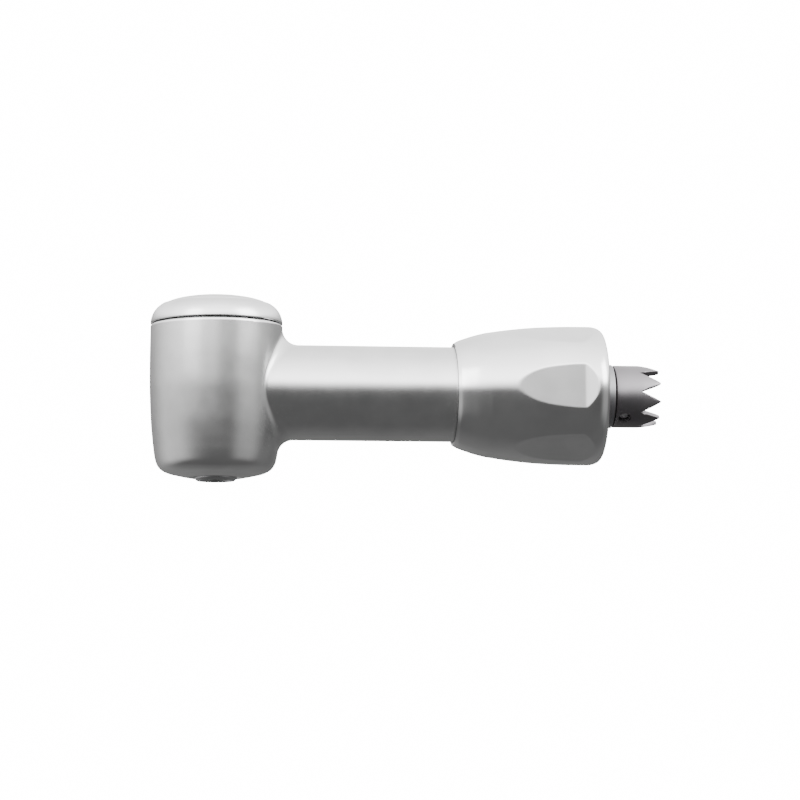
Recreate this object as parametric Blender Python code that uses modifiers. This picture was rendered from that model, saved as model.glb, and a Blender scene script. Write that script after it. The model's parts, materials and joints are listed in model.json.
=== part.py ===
"""Contra angle head: a push-button chuck, a bevel drive and a ring nut coupling.

World frame: metres, +Z up along the bur axis, +X along the drive axis toward the crown gear.
The origin is on the drive axis, at the rear plane of the ring nut. Lengths below are in
millimetres, measured from the point where the two axes cross (the apex), and pieces are placed there.
"""
import math

import bmesh
import bpy
from mathutils import Vector

MM = 0.001
MERGE = 0.000001          # metres: welds a turned profile where it meets its axis
FULL_TURN = 2.0 * math.pi

# ---- driving dimensions, mm ------------------------------------------------------------------
APEX_TO_NUT_REAR = 29.0   # the apex to the rear plane of the ring nut
GAP = 0.03                # gap between fitted pieces
RUN = 0.05                # running clearance

BARREL_R = 4.97           # the barrel at its widest
BARREL_TOP = 5.03         # housing rim under the cap
BARREL_FLOOR = -5.0       # inner face of the barrel's bottom wall
BARREL_BOTTOM = -6.45
BORE_R = 3.53             # barrel bore
THREAD_R = 4.2            # bore that takes the cap's skirt
CAP_SKIRT_END = 4.05
NECK_R = 3.57
NECK_BORE_R = 3.02
NECK_STOP_R = 2.94
NECK_END = 19.0
FILLET_R = 1.2            # between neck and barrel

NUT_FRONT = 17.8
NUT_R = 5.24
NUT_FLAT_R = 4.96         # axis to each wrench flat
NUT_LIP_R = NECK_R + RUN
NUT_LIP_END = 18.96
NUT_CAVITY_R = 4.2
NUT_FLAT_TILT = 2.5       # degrees that one flat's normal stands above -Y
NUT_FLAT_END = 27.2       # from here each flat runs out to the full round rim
NUT_RUN_OUT = 0.30        # rise of the run-out per length
FLANGE_R = 4.15
FLANGE_FRONT = 19.05
FLANGE_REAR = 20.3
BOSS_R = 2.4
BOSS_END = 29.83

GEAR_TEETH = 14
GEAR_R = 2.6              # pitch radius at the big end, on both 45 degree cones
GEAR_FACE = 0.95          # tooth length along the cone
ADDENDUM = 0.29
DEDENDUM = 0.38
PRESSURE = math.radians(20.0)
BACKLASH = math.radians(0.7)

SPINDLE_SEAT_R = 1.73     # lower bearing seat
SPINDLE_UPPER_R = 1.5     # gear and upper bearing seat
SPINDLE_TOP = 4.88
NOSE_R = 1.6
NOSE_END = -6.68
BUR_BORE_R = 1.19         # takes a 2.35 mm bur shank
SHAFT_R = 1.25

HEAD_BEARING = (3.5, 1.8, 2.625, 0.5)      # outer radius, width, ball circle radius, ball radius
HEAD_BALLS = 8
UPPER_BEARING_Z = 3.95
LOWER_BEARING_Z = -3.8
NECK_BEARING = (3.0, 1.8, 2.125, 0.4)
NECK_BALLS = 7
FRONT_BEARING_X = 5.25
REAR_BEARING_X = 15.65

BUTTON_R = 3.82           # the part of the button that shows inside the cap's lip
BUTTON_RIM_R = 3.96
BUTTON_UNDER = 5.95
BUTTON_TOP = 7.15
LIP_R = BUTTON_R + RUN
CAP_FLOOR_TOP = 5.2
CAP_TOP = 6.53

CROWN_R = 2.35
CROWN_WALL = 0.55
CROWN_FRONT = 29.92
CROWN_ROOT = 31.8         # tooth roots
CROWN_TIP = 33.35
CROWN_TEETH = 9
CROWN_TOOTH_AT = -16.0    # degrees above -Y of one tooth's centre line
PIN_AT = -50.5            # degrees above -Y of the cross pin
PIN_X = 30.62
PIN_R = 0.44

ROUND = 44                # segments of the head's turned pieces
OUTER = 40                # segments of the ring nut and bush
INNER = 20                # segments of the hidden turned pieces

# ---- start clean -----------------------------------------------------------------------------
for old in list(bpy.data.objects):
    bpy.data.objects.remove(old, do_unlink=True)

handpiece = bpy.data.collections.new("contra_angle_head")
bpy.context.scene.collection.children.link(handpiece)
cutters = bpy.data.collections.new("cutters")
bpy.context.scene.collection.children.link(cutters)
APEX = Vector((-APEX_TO_NUT_REAR * MM, 0.0, 0.0))
ALONG_Z = (0.0, 0.0, 0.0)
ALONG_X = (0.0, math.radians(90.0), 0.0)


# ---- materials -------------------------------------------------------------------------------
def material(name, colour, roughness, metallic):
    made = bpy.data.materials.new(name)
    made.use_nodes = True
    shader = made.node_tree.nodes["Principled BSDF"]
    shader.inputs["Base Color"].default_value = (*colour, 1.0)
    shader.inputs["Roughness"].default_value = roughness
    shader.inputs["Metallic"].default_value = metallic
    made.diffuse_color = (*colour, 1.0)
    return made


SATIN = material("satin_steel", (0.62, 0.62, 0.63), 0.36, 1.0)
NICKEL = material("nut_nickel", (0.66, 0.66, 0.67), 0.24, 1.0)
BUTTON = material("button_steel", (0.64, 0.64, 0.65), 0.30, 1.0)
CROWN = material("crown_steel", (0.50, 0.49, 0.50), 0.34, 1.0)
GEAR = material("gear_steel", (0.48, 0.48, 0.49), 0.30, 1.0)
BEARING = material("bearing_steel", (0.70, 0.70, 0.71), 0.15, 1.0)
CAGE = material("cage_steel", (0.60, 0.58, 0.54), 0.25, 1.0)
BRONZE = material("bronze", (0.62, 0.42, 0.24), 0.40, 1.0)
RUBBER = material("seal_rubber", (0.03, 0.03, 0.03), 0.75, 0.0)
SPRING = material("spring_steel", (0.45, 0.45, 0.46), 0.28, 1.0)


# ---- modelling helpers -----------------------------------------------------------------------
def place(mesh, name, turn, mat, home, sharp=35.0):
    """Put a mesh in the scene as one named piece, at the apex and shaded smooth."""
    piece = bpy.data.objects.new(name, mesh)
    home.objects.link(piece)
    piece.location = APEX
    piece.rotation_euler = turn
    if mat is not None:
        mesh.materials.append(mat)
    if home is cutters:
        piece.hide_render = True
        piece.display_type = "WIRE"
    for face in mesh.polygons:
        face.use_smooth = True
    mesh.set_sharp_from_angle(angle=math.radians(sharp))
    return piece


def turned(name, profile, turn, mat, segments=INNER, home=handpiece, ring=True):
    """A turned piece: (radius, height) points run down the outer side, and up the bore of a ring."""
    mesh = bpy.data.meshes.new(name)
    points = [(r * MM, 0.0, h * MM) for r, h in profile]
    edges = [(i, i + 1) for i in range(len(points) - 1)]
    if ring:
        edges.append((len(points) - 1, 0))
    mesh.from_pydata(points, edges, [])
    piece = place(mesh, name, turn, mat, home)
    screw = piece.modifiers.new("Turn", "SCREW")
    screw.axis = "Z"
    screw.angle = FULL_TURN
    screw.steps = segments
    screw.render_steps = segments
    screw.use_merge_vertices = True
    screw.merge_threshold = MERGE
    screw.use_smooth_shade = True
    return piece


def loft(name, rings, turn, mat, home=handpiece, closed=False, sharp=35.0):
    """Faces between like-numbered rings of points. closed joins the last ring to the first."""
    shape = bmesh.new()
    loops = [[shape.verts.new(Vector(p) * MM) for p in ring] for ring in rings]
    count = len(loops[0])
    pairs = list(zip(loops, loops[1:]))
    if closed:
        pairs.append((loops[-1], loops[0]))
    for near, far in pairs:
        for i in range(count):
            j = (i + 1) % count
            shape.faces.new((near[i], near[j], far[j], far[i]))
    if not closed:
        shape.faces.new(reversed(loops[0]))
        shape.faces.new(loops[-1])
    bmesh.ops.recalc_face_normals(shape, faces=shape.faces)
    if shape.calc_volume(signed=True) < 0.0:
        bmesh.ops.reverse_faces(shape, faces=shape.faces)
    mesh = bpy.data.meshes.new(name)
    shape.to_mesh(mesh)
    shape.free()
    return place(mesh, name, turn, mat, home, sharp)


def box(name, centre, size, spin, mat, home=handpiece):
    """A rectangular block, turned by spin degrees about the bur axis."""
    shape = bmesh.new()
    bmesh.ops.create_cube(shape, size=1.0)
    bmesh.ops.scale(shape, vec=Vector(size) * MM, verts=shape.verts)
    bmesh.ops.translate(shape, vec=Vector(centre) * MM, verts=shape.verts)
    mesh = bpy.data.meshes.new(name)
    shape.to_mesh(mesh)
    shape.free()
    return place(mesh, name, (0.0, 0.0, math.radians(spin)), mat, home)


def boolean(piece, other, operation):
    step = piece.modifiers.new(other.name, "BOOLEAN")
    step.operation = operation
    step.solver = "EXACT"
    step.object = other


def tube(outer, inner, low, high, chamfer=0.0):
    """The profile of a plain tube between two heights, with its outer corners cut."""
    c = chamfer
    side = [(outer - c, high), (outer, high - c), (outer, low + c), (outer - c, low)]
    return side + [(inner, low), (inner, high)]


def about_x(x, radius, degrees):
    """A point round the drive axis, by its angle above -Y."""
    a = math.radians(degrees)
    return (x, -radius * math.cos(a), radius * math.sin(a))


# ---- bearings --------------------------------------------------------------------------------
def groove(circle, ball, mid, side, land, points=4):
    """The ball track of a race: an arc from one edge of its land to the other, going up."""
    radius = ball + 0.04
    reach = math.acos((land - circle) * side / radius)
    arc = []
    for i in range(points):
        a = -reach + 2.0 * reach * i / (points - 1)
        arc.append((circle + side * radius * math.cos(a), mid + radius * math.sin(a)))
    return arc


def bearing(prefix, size, seat, mid, turn, balls):
    """Outer race, inner race, and the balls with their cage: three pieces."""
    outer, width, circle, ball = size
    low = mid - width / 2.0
    high = mid + width / 2.0
    cut = 0.12
    out_land = circle + 0.65 * ball
    in_land = circle - 0.65 * ball
    profile = tube(outer, out_land, low, high, cut)[:-1]
    profile += groove(circle, ball, mid, 1.0, out_land)
    profile.append((out_land, high))
    turned(prefix + "_outer_race", profile, turn, BEARING)
    profile = [(in_land, high)]
    profile += list(reversed(groove(circle, ball, mid, -1.0, in_land)))
    profile += [(in_land, low), (seat, low), (seat, high)]
    turned(prefix + "_inner_race", profile, turn, BEARING)
    cage = turned(prefix + "_bearing_balls", tube(circle + 0.3 * ball, circle - 0.3 * ball,
                                                  mid - 0.62 * ball, mid + 0.62 * ball), turn, CAGE)
    shape = bmesh.new()
    for i in range(balls):
        a = FULL_TURN * i / balls
        made = bmesh.ops.create_uvsphere(shape, u_segments=6, v_segments=4, radius=ball * MM)
        spot = Vector((circle * math.cos(a), circle * math.sin(a), mid)) * MM
        bmesh.ops.translate(shape, vec=spot, verts=made["verts"])
    mesh = bpy.data.meshes.new(prefix + "_balls")
    shape.to_mesh(mesh)
    shape.free()
    boolean(cage, place(mesh, prefix + "_balls", turn, None, cutters), "UNION")


bearing("upper", HEAD_BEARING, SPINDLE_UPPER_R + 0.02, UPPER_BEARING_Z, ALONG_Z, HEAD_BALLS)
bearing("lower", HEAD_BEARING, SPINDLE_SEAT_R + 0.02, LOWER_BEARING_Z, ALONG_Z, HEAD_BALLS)
bearing("front", NECK_BEARING, SHAFT_R + 0.02, FRONT_BEARING_X, ALONG_X, NECK_BALLS)
bearing("rear", NECK_BEARING, SHAFT_R + 0.02, REAR_BEARING_X, ALONG_X, NECK_BALLS)

# ---- head housing ----------------------------------------------------------------------------
BARREL_SIDE = [
    (4.78, BARREL_TOP), (4.93, 4.88), (4.96, 2.6), (BARREL_R, -0.4), (4.92, -1.3), (4.83, -2.5),
    (4.72, -3.7), (4.59, -4.75), (4.44, -5.36), (4.22, -5.74), (3.92, -5.97), (3.55, -6.13), (3.05, -6.25),
    (2.30, -6.41), (2.05, BARREL_BOTTOM),
]


def barrel_nearest(distance, height):
    """The point of the barrel's side profile that is nearest to a point outside it."""
    best = None
    for (r0, z0), (r1, z1) in zip(BARREL_SIDE, BARREL_SIDE[1:]):
        along = (r1 - r0) ** 2 + (z1 - z0) ** 2
        t = ((distance - r0) * (r1 - r0) + (height - z0) * (z1 - z0)) / along
        t = min(1.0, max(0.0, t))
        r = r0 + t * (r1 - r0)
        z = z0 + t * (z1 - z0)
        gap = math.hypot(distance - r, height - z)
        if best is None or gap < best[0]:
            best = (gap, r, z)
    return best


def fillet_section(angle, steps=4, sunk=0.02):
    """One section of the fillet: where a ball touching both neck and barrel lies, and its arc."""
    y = (NECK_R + FILLET_R) * math.cos(angle)
    z = (NECK_R + FILLET_R) * math.sin(angle)
    near = 0.0
    far = 9.0
    for _ in range(50):
        x = (near + far) / 2.0
        if barrel_nearest(math.hypot(x, y), z)[0] > FILLET_R:
            far = x
        else:
            near = x
    _, r, barrel_z = barrel_nearest(math.hypot(x, y), z)
    scale = r / math.hypot(x, y)
    ball = Vector((x, y, z))
    on_neck = Vector((x, NECK_R * math.cos(angle), NECK_R * math.sin(angle)))
    on_barrel = Vector((x * scale, y * scale, barrel_z))
    start = (on_neck - ball).normalized()
    end = (on_barrel - ball).normalized()
    points = []
    for i in range(steps + 1):
        points.append(ball + start.slerp(end, i / steps) * FILLET_R)
    inward = Vector((0.0, -math.cos(angle), -math.sin(angle)))
    points[0] = on_neck + inward * sunk
    points[-1] = on_barrel + end * sunk
    deep = Vector((on_barrel.x - 0.35, on_neck.y + inward.y * 0.3, on_neck.z + inward.z * 0.3))
    points.append(deep)
    return points


housing = turned("head_housing", [(0.0, BARREL_TOP)] + BARREL_SIDE + [(0.0, BARREL_BOTTOM)], ALONG_Z, SATIN,
                 ROUND, ring=False)
neck = turned("neck", [(0.0, NECK_END), (NECK_R - 0.15, NECK_END), (NECK_R, NECK_END - 0.15),
                       (NECK_R, 3.0), (0.0, 3.0)], ALONG_X, None, ROUND, cutters, ring=False)
FILLET_STEPS = 36
sections = [fillet_section(FULL_TURN * (i + 0.5) / FILLET_STEPS) for i in range(FILLET_STEPS)]
fillet = loft("fillet", sections, ALONG_Z, None, cutters, closed=True)
boolean(housing, neck, "UNION")
boolean(housing, fillet, "UNION")
barrel_bore = turned("barrel_bore", [
    (0.0, 5.4), (THREAD_R, 5.4), (THREAD_R, CAP_SKIRT_END - 0.05), (BORE_R, CAP_SKIRT_END - 0.05),
    (BORE_R, BARREL_FLOOR + 0.15), (BORE_R - 0.15, BARREL_FLOOR), (1.95, BARREL_FLOOR), (1.95, -5.15),
    (2.2, -5.15), (2.2, -5.6), (1.78, -5.6), (1.78, -7.0), (0.0, -7.0),
], ALONG_Z, None, ROUND, cutters, ring=False)
neck_bore = turned("neck_bore", [
    (0.0, 20.0), (NECK_BORE_R, 20.0), (NECK_BORE_R, 4.3), (NECK_STOP_R, 4.3), (NECK_STOP_R, 1.0), (0.0, 1.0),
], ALONG_X, None, OUTER, cutters, ring=False)
boolean(housing, barrel_bore, "DIFFERENCE")
boolean(housing, neck_bore, "DIFFERENCE")

# ---- cap, seals and spring -------------------------------------------------------------------
BEARING_BAY_R = HEAD_BEARING[0] + GAP
BUTTON_BAY_R = BUTTON_RIM_R + RUN
CAP_CEILING = 4.88        # over the upper bearing
CAP_LIP_UNDER = 6.32
SEAL_RECESS_R = THREAD_R + 0.25
SEAL_RECESS_TOP = 5.25
CAP_SIDE = [
    (LIP_R, CAP_TOP), (4.08, CAP_TOP), (4.2, CAP_TOP - 0.06), (4.59, 6.11), (4.77, 5.83), (4.89, 5.45),
    (4.94, 5.20), (4.94, 5.12), (4.90, 5.08),
]
turned("head_cap", CAP_SIDE + [
    (SEAL_RECESS_R, 5.08), (SEAL_RECESS_R, SEAL_RECESS_TOP), (THREAD_R - GAP, SEAL_RECESS_TOP),
    (THREAD_R - GAP, CAP_SKIRT_END), (BEARING_BAY_R, CAP_SKIRT_END), (BEARING_BAY_R, CAP_CEILING),
    (2.75, CAP_CEILING), (2.75, CAP_FLOOR_TOP), (BUTTON_BAY_R, CAP_FLOOR_TOP), (BUTTON_BAY_R, CAP_LIP_UNDER),
    (LIP_R, CAP_LIP_UNDER),
], ALONG_Z, SATIN, ROUND)
SEAL_R = THREAD_R + 0.11
SEAL_Z = 5.16
SEAL_CORD = 0.09
seal_points = []
for i in range(6):
    a = FULL_TURN * i / 6
    seal_points.append((SEAL_R + SEAL_CORD * math.cos(a), SEAL_Z - SEAL_CORD * math.sin(a)))
turned("cap_seal", seal_points, ALONG_Z, RUBBER, 32)
turned("nose_seal", tube(2.17, NOSE_R + RUN, -5.57, -5.18, 0.05), ALONG_Z, RUBBER)

waves = []
WASHER_STEPS = 30
for i in range(WASHER_STEPS):
    a = FULL_TURN * i / WASHER_STEPS
    lift = -4.85 + 0.05 * math.sin(3.0 * a)
    waves.append([(r * math.cos(a), r * math.sin(a), lift + side)
                  for r, side in ((2.8, -0.05), (3.3, -0.05), (3.3, 0.05), (2.8, 0.05))])
loft("wave_washer", waves, ALONG_Z, SPRING, closed=True)

SPRING_TURNS = 2
SPRING_STEPS = 14
SPRING_WIRE = 0.09
SPRING_WIDE_R = 3.7
SPRING_NARROW_R = 3.0
wire = bpy.data.curves.new("button_spring", "CURVE")
wire.dimensions = "3D"
wire.bevel_depth = SPRING_WIRE * MM
wire.bevel_resolution = 2
wire.use_fill_caps = True
wire.materials.append(SPRING)
path = wire.splines.new("POLY")
path.points.add(SPRING_TURNS * SPRING_STEPS)
SPRING_LOW = CAP_FLOOR_TOP + SPRING_WIRE + 0.01
SPRING_HIGH = BUTTON_UNDER - SPRING_WIRE - 0.01
for i, point in enumerate(path.points):
    t = i / (SPRING_TURNS * SPRING_STEPS)
    a = FULL_TURN * i / SPRING_STEPS
    r = (SPRING_WIDE_R + (SPRING_NARROW_R - SPRING_WIDE_R) * t) * MM
    z = (SPRING_LOW + (SPRING_HIGH - SPRING_LOW) * t) * MM
    point.co = (r * math.cos(a), r * math.sin(a), z, 1.0)
coil = bpy.data.objects.new("button_spring", wire)
coil.location = APEX
handpiece.objects.link(coil)

# ---- push button and release cone ------------------------------------------------------------
turned("push_button", [
    (0.0, BUTTON_TOP), (0.8, BUTTON_TOP), (2.1, BUTTON_TOP - 0.09), (3.0, BUTTON_TOP - 0.26),
    (3.60, BUTTON_TOP - 0.45), (BUTTON_R, BUTTON_TOP - 0.60), (BUTTON_R, 6.28), (BUTTON_RIM_R, 6.28),
    (BUTTON_RIM_R, BUTTON_UNDER), (2.9, BUTTON_UNDER), (2.9, 6.25), (0.92, 6.25), (0.92, 6.4), (0.0, 6.4),
], ALONG_Z, BUTTON, ROUND, ring=False)
turned("release_cone", [
    (0.0, 6.38), (0.9, 6.38), (0.9, 5.9), (0.1, 5.1), (0.0, 5.1),
], ALONG_Z, GEAR, INNER, ring=False)

# ---- spindle ---------------------------------------------------------------------------------
turned("spindle_tube", [
    (SPINDLE_UPPER_R, SPINDLE_TOP), (SPINDLE_UPPER_R, 2.12), (NOSE_R, 2.05), (NOSE_R, -2.58), (2.0, -2.58),
    (2.0, -2.88), (SPINDLE_SEAT_R, -2.88), (SPINDLE_SEAT_R, -4.75), (NOSE_R, -4.8), (NOSE_R, NOSE_END + 0.2),
    (1.38, NOSE_END), (BUR_BORE_R + 0.08, NOSE_END), (BUR_BORE_R, NOSE_END + 0.1), (BUR_BORE_R, SPINDLE_TOP),
], ALONG_Z, GEAR, INNER)
chuck = turned("chuck_head", [
    (2.3, 5.55), (2.38, 5.47), (2.38, 4.98), (2.3, 4.90), (0.95, 4.90), (0.95, 5.55),
], ALONG_Z, GEAR, INNER)
boolean(chuck, box("chuck_slot", (0.0, 0.0, 5.5), (4.1, 1.5, 0.88), 0.0, None, cutters), "DIFFERENCE")
key = turned("bur_drive_key", [
    (0.0, 4.6), (BUR_BORE_R - 0.02, 4.6), (BUR_BORE_R - 0.02, 3.7), (0.0, 3.7),
], ALONG_Z, GEAR, INNER, ring=False)
boolean(key, box("key_flat", (0.0, -1.05, 4.15), (3.0, 3.0, 2.0), 0.0, None, cutters), "DIFFERENCE")

CLIP_OPENING = 40.0       # degrees left open in the clip
CLIP_STEPS = 20
clip = []
for i in range(CLIP_STEPS + 1):
    a = math.radians(CLIP_OPENING / 2.0 + (360.0 - CLIP_OPENING) * i / CLIP_STEPS)
    clip.append([(r * math.cos(a), r * math.sin(a), z)
                 for r, z in ((2.43, 5.12), (2.58, 5.12), (2.58, 5.34), (2.43, 5.34))])
loft("chuck_clip", clip, ALONG_Z, SPRING)


def jaw(name, side):
    """One latch jaw: a block whose inner top edge slopes, so that the cone pushes it out."""
    low = 5.12
    high = 5.50
    outline = [(0.46, low), (1.62, low), (1.62, high), (0.90, high), (0.46, low + 0.08)]
    rings = [[(side * x, y, z) for x, z in outline] for y in (-0.69, 0.69)]
    return loft(name, rings, ALONG_Z, GEAR, sharp=20.0)


jaw("latch_jaw_a", 1.0)
jaw("latch_jaw_b", -1.0)

# ---- bevel gears -----------------------------------------------------------------------------
CONE = GEAR_R * math.sqrt(2.0)             # apex to the pitch circle along the cone
CONE_IN = CONE - GEAR_FACE


def tooth_half_angle(height):
    """Half a tooth's angle about its gear axis, at a height over the pitch cone."""
    teeth = GEAR_TEETH * math.sqrt(2.0)    # of the spur gear that has the same tooth shape
    base = CONE * math.cos(PRESSURE)
    pitch_roll = math.tan(PRESSURE) - PRESSURE
    slant = math.acos(min(1.0, base / (CONE + height)))
    roll = math.tan(slant) - slant
    return (math.pi / (2.0 * teeth) + pitch_roll - roll) * math.sqrt(2.0) - BACKLASH


def gear_ring(scale, phase):
    """One end of the toothed zone, scaled toward the apex, as (radius, height, angle) points."""
    ring = []
    step = FULL_TURN / GEAR_TEETH
    heights = (-DEDENDUM, 0.0, ADDENDUM)
    for tooth in range(GEAR_TEETH):
        middle = (tooth + phase) * step
        flank = [(h, tooth_half_angle(h)) for h in heights]
        for h, a in flank:
            ring.append((middle - a, h))
        for h, a in reversed(flank):
            ring.append((middle + a, h))
    half = math.sqrt(0.5)
    return [((CONE + h) * half * scale, (CONE - h) * half * scale, a) for a, h in ring]


def bevel_gear(name, bore, hub_r, hub_end, phase, turn):
    """A bevel gear lofted from its bore round its toothed zone to its hub."""
    big = gear_ring(1.0, phase)
    small = gear_ring(CONE_IN / CONE, phase)
    front = max(z for r, z, a in small)
    back = max(z for r, z, a in big)
    rings = [
        [(bore, front + 0.02, a) for r, z, a in small],
        small,
        big,
        [(hub_r, back + 0.02, a) for r, z, a in big],
        [(hub_r, hub_end, a) for r, z, a in big],
        [(bore, hub_end, a) for r, z, a in big],
    ]
    solid = [[(r * math.cos(a), r * math.sin(a), z) for r, z, a in ring] for ring in rings]
    return loft(name, solid, turn, GEAR, closed=True, sharp=20.0)


# The pinion has a tooth at the meshing line, so the driven gear has a space there.
bevel_gear("driven_gear", SPINDLE_UPPER_R + 0.02, 2.2, 3.0, 0.5, ALONG_Z)
bevel_gear("drive_pinion", SHAFT_R + 0.02, 2.2, 3.5, 0.0, ALONG_X)

# ---- drive shaft line ------------------------------------------------------------------------
def radial_pin(name, radius, reach, mat, home):
    """A straight pin through the drive axis at the cross pin's place."""
    rings = []
    a = math.radians(PIN_AT)
    out = Vector((0.0, -math.cos(a), math.sin(a)))
    across = Vector((0.0, math.sin(a), math.cos(a)))
    ahead = Vector((1.0, 0.0, 0.0))
    for end in (-reach, reach):
        middle = ahead * PIN_X + out * end
        rings.append([middle + (ahead * math.cos(t) + across * math.sin(t)) * radius
                      for t in (FULL_TURN * i / 16 for i in range(16))])
    return loft(name, rings, ALONG_Z, mat, home)


shaft = turned("drive_shaft", [
    (0.0, 31.5), (SHAFT_R - 0.15, 31.5), (SHAFT_R, 31.35), (SHAFT_R, 2.3), (SHAFT_R - 0.1, 2.2), (0.0, 2.2),
], ALONG_X, GEAR, INNER, ring=False)
shaft_hole = radial_pin("shaft_pin_hole", PIN_R + 0.02, 2.0, None, cutters)
boolean(shaft, shaft_hole, "DIFFERENCE")
turned("inner_spacer_sleeve", tube(1.62, SHAFT_R + 0.02, 6.2, 14.7, 0.1), ALONG_X, GEAR)
turned("outer_spacer_sleeve", tube(NECK_BORE_R - 0.02, 2.6, 6.2, 14.7, 0.1), ALONG_X, GEAR)
turned("shaft_collar", tube(1.6, SHAFT_R + 0.02, 16.6, 17.5, 0.1), ALONG_X, GEAR)

BUSH_FRONT = 16.6
BUSHING_R = 2.0
BUSHING_SEAT = 27.2
bush = turned("coupling_bush", [
    (2.35, BOSS_END), (BOSS_R, BOSS_END - 0.06), (BOSS_R, FLANGE_REAR), (FLANGE_R - 0.2, FLANGE_REAR),
    (FLANGE_R, FLANGE_REAR - 0.2), (FLANGE_R, FLANGE_FRONT), (NECK_BORE_R - 0.02, FLANGE_FRONT),
    (NECK_BORE_R - 0.02, BUSH_FRONT), (2.4, BUSH_FRONT), (2.4, 18.0), (1.6, 18.8), (1.6, BUSHING_SEAT),
    (BUSHING_R + 0.02, BUSHING_SEAT), (BUSHING_R + 0.02, BOSS_END),
], ALONG_X, SATIN, OUTER)
turned("rear_bushing", tube(BUSHING_R, SHAFT_R + RUN, BUSHING_SEAT + 0.04, 29.7, 0.1), ALONG_X, BRONZE)

INDEX_R = 0.35
INDEX_AT = 3.3            # from the drive axis, straight up
index_pin = turned("index_pin", [
    (0.0, 22.4), (INDEX_R - 0.12, 22.4), (INDEX_R, 22.25), (INDEX_R, 19.4), (0.0, 19.4),
], ALONG_X, GEAR, 16, ring=False)
index_pin.location = APEX + Vector((0.0, 0.0, INDEX_AT)) * MM
index_hole = turned("index_hole", [
    (0.0, 21.0), (INDEX_R + 0.02, 21.0), (INDEX_R + 0.02, 19.38), (0.0, 19.38),
], ALONG_X, None, 16, cutters, ring=False)
index_hole.location = index_pin.location
boolean(bush, index_hole, "DIFFERENCE")

# ---- ring nut --------------------------------------------------------------------------------
REAR = APEX_TO_NUT_REAR
THREADS = 4
THREAD_PITCH = 0.9
THREAD_START = 24.6
bore_side = [(NUT_LIP_R, NUT_FRONT), (NUT_LIP_R, NUT_LIP_END), (NUT_CAVITY_R, NUT_LIP_END)]
for i in range(THREADS):
    x = THREAD_START + THREAD_PITCH * i
    bore_side += [(NUT_CAVITY_R, x), (NUT_CAVITY_R - 0.25, x + THREAD_PITCH / 2.0)]
bore_side += [(NUT_CAVITY_R, THREAD_START + THREAD_PITCH * THREADS), (NUT_CAVITY_R + 0.18, REAR)]
nut = turned("ring_nut", [
    (4.60, REAR), (4.88, REAR - 0.08), (5.10, REAR - 0.27), (5.21, REAR - 0.52), (NUT_R, REAR - 0.85),
    (NUT_R - 0.01, 25.9), (5.16, 23.9), (4.91, 21.93), (4.68, 20.2), (4.29, 18.8), (3.95, 17.92),
    (3.88, NUT_FRONT),
] + bore_side, ALONG_X, NICKEL, OUTER)


def hexagon(x, across):
    """The six corners of a hexagon round the drive axis, from the distance of its sides."""
    corner = across / math.cos(math.radians(30.0))
    return [about_x(x, corner, NUT_FLAT_TILT + 30.0 + 60.0 * i) for i in range(6)]


HEXAGON_START = NUT_FRONT - 1.0
HEXAGON_STOP = REAR + 1.0
RIM_ALLOWED = NUT_FLAT_R + (HEXAGON_STOP - NUT_FLAT_END) * NUT_RUN_OUT
milled = loft("nut_hexagon", [
    hexagon(HEXAGON_START, NUT_FLAT_R), hexagon(NUT_FLAT_END, NUT_FLAT_R), hexagon(HEXAGON_STOP, RIM_ALLOWED),
], ALONG_Z, None, cutters)
boolean(nut, milled, "INTERSECT")

# ---- crown gear ------------------------------------------------------------------------------
TOOTH_POINTS = 8          # outline points per tooth


def crown_edge(radius_at):
    """The toothed rim as a closed loop."""
    loop = []
    pitch = 360.0 / CROWN_TEETH
    for tooth in range(CROWN_TEETH):
        for i in range(TOOTH_POINTS):
            t = -1.0 + 2.0 * i / TOOTH_POINTS
            height = max(0.0, 1.0 - abs(t) ** 1.25)
            x = CROWN_ROOT + (CROWN_TIP - CROWN_ROOT) * height
            loop.append(about_x(x, radius_at(height), CROWN_TOOTH_AT + (tooth + 0.5 * t) * pitch))
    return loop


def crown_circle(x, radius):
    """A plain loop with as many points as the toothed rim."""
    count = CROWN_TEETH * TOOTH_POINTS
    first = CROWN_TOOTH_AT - 180.0 / CROWN_TEETH
    return [about_x(x, radius, first + 360.0 * i / count) for i in range(count)]


CROWN_IN = CROWN_R - CROWN_WALL
CROWN_WEB = 31.45
crown = loft("crown_gear", [
    crown_circle(CROWN_FRONT, SHAFT_R + 0.02),
    crown_circle(CROWN_FRONT, CROWN_R - 0.1),
    crown_circle(CROWN_FRONT + 0.1, CROWN_R),
    crown_circle(CROWN_ROOT - 0.2, CROWN_R),
    crown_edge(lambda height: CROWN_R - 0.02 - 0.2 * height),
    crown_edge(lambda height: CROWN_IN),
    crown_circle(CROWN_WEB, CROWN_IN),
    crown_circle(CROWN_WEB, SHAFT_R + 0.02),
], ALONG_Z, CROWN, closed=True, sharp=30.0)
boolean(crown, radial_pin("crown_pin_hole", PIN_R + 0.02, 3.0, None, cutters), "DIFFERENCE")
radial_pin("crown_pin", PIN_R, 1.95, BEARING, handpiece)
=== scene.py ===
# %% [markdown]
# # A contra angle head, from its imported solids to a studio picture
# The object is the small right-angle head of a dental handpiece: a barrel that holds a hollow
# spindle, a straight neck, a ring nut that screws the head to its shank, and a crown gear that takes
# the drive. The CAD solids already sit in their places. This lesson gives the pieces that show their
# fine surfaces, gives every piece its metal, and lights the set.

# %% Load the frame
import json
import math

import bmesh
import bpy
import numpy as np
from mathutils import Matrix, Vector


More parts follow.
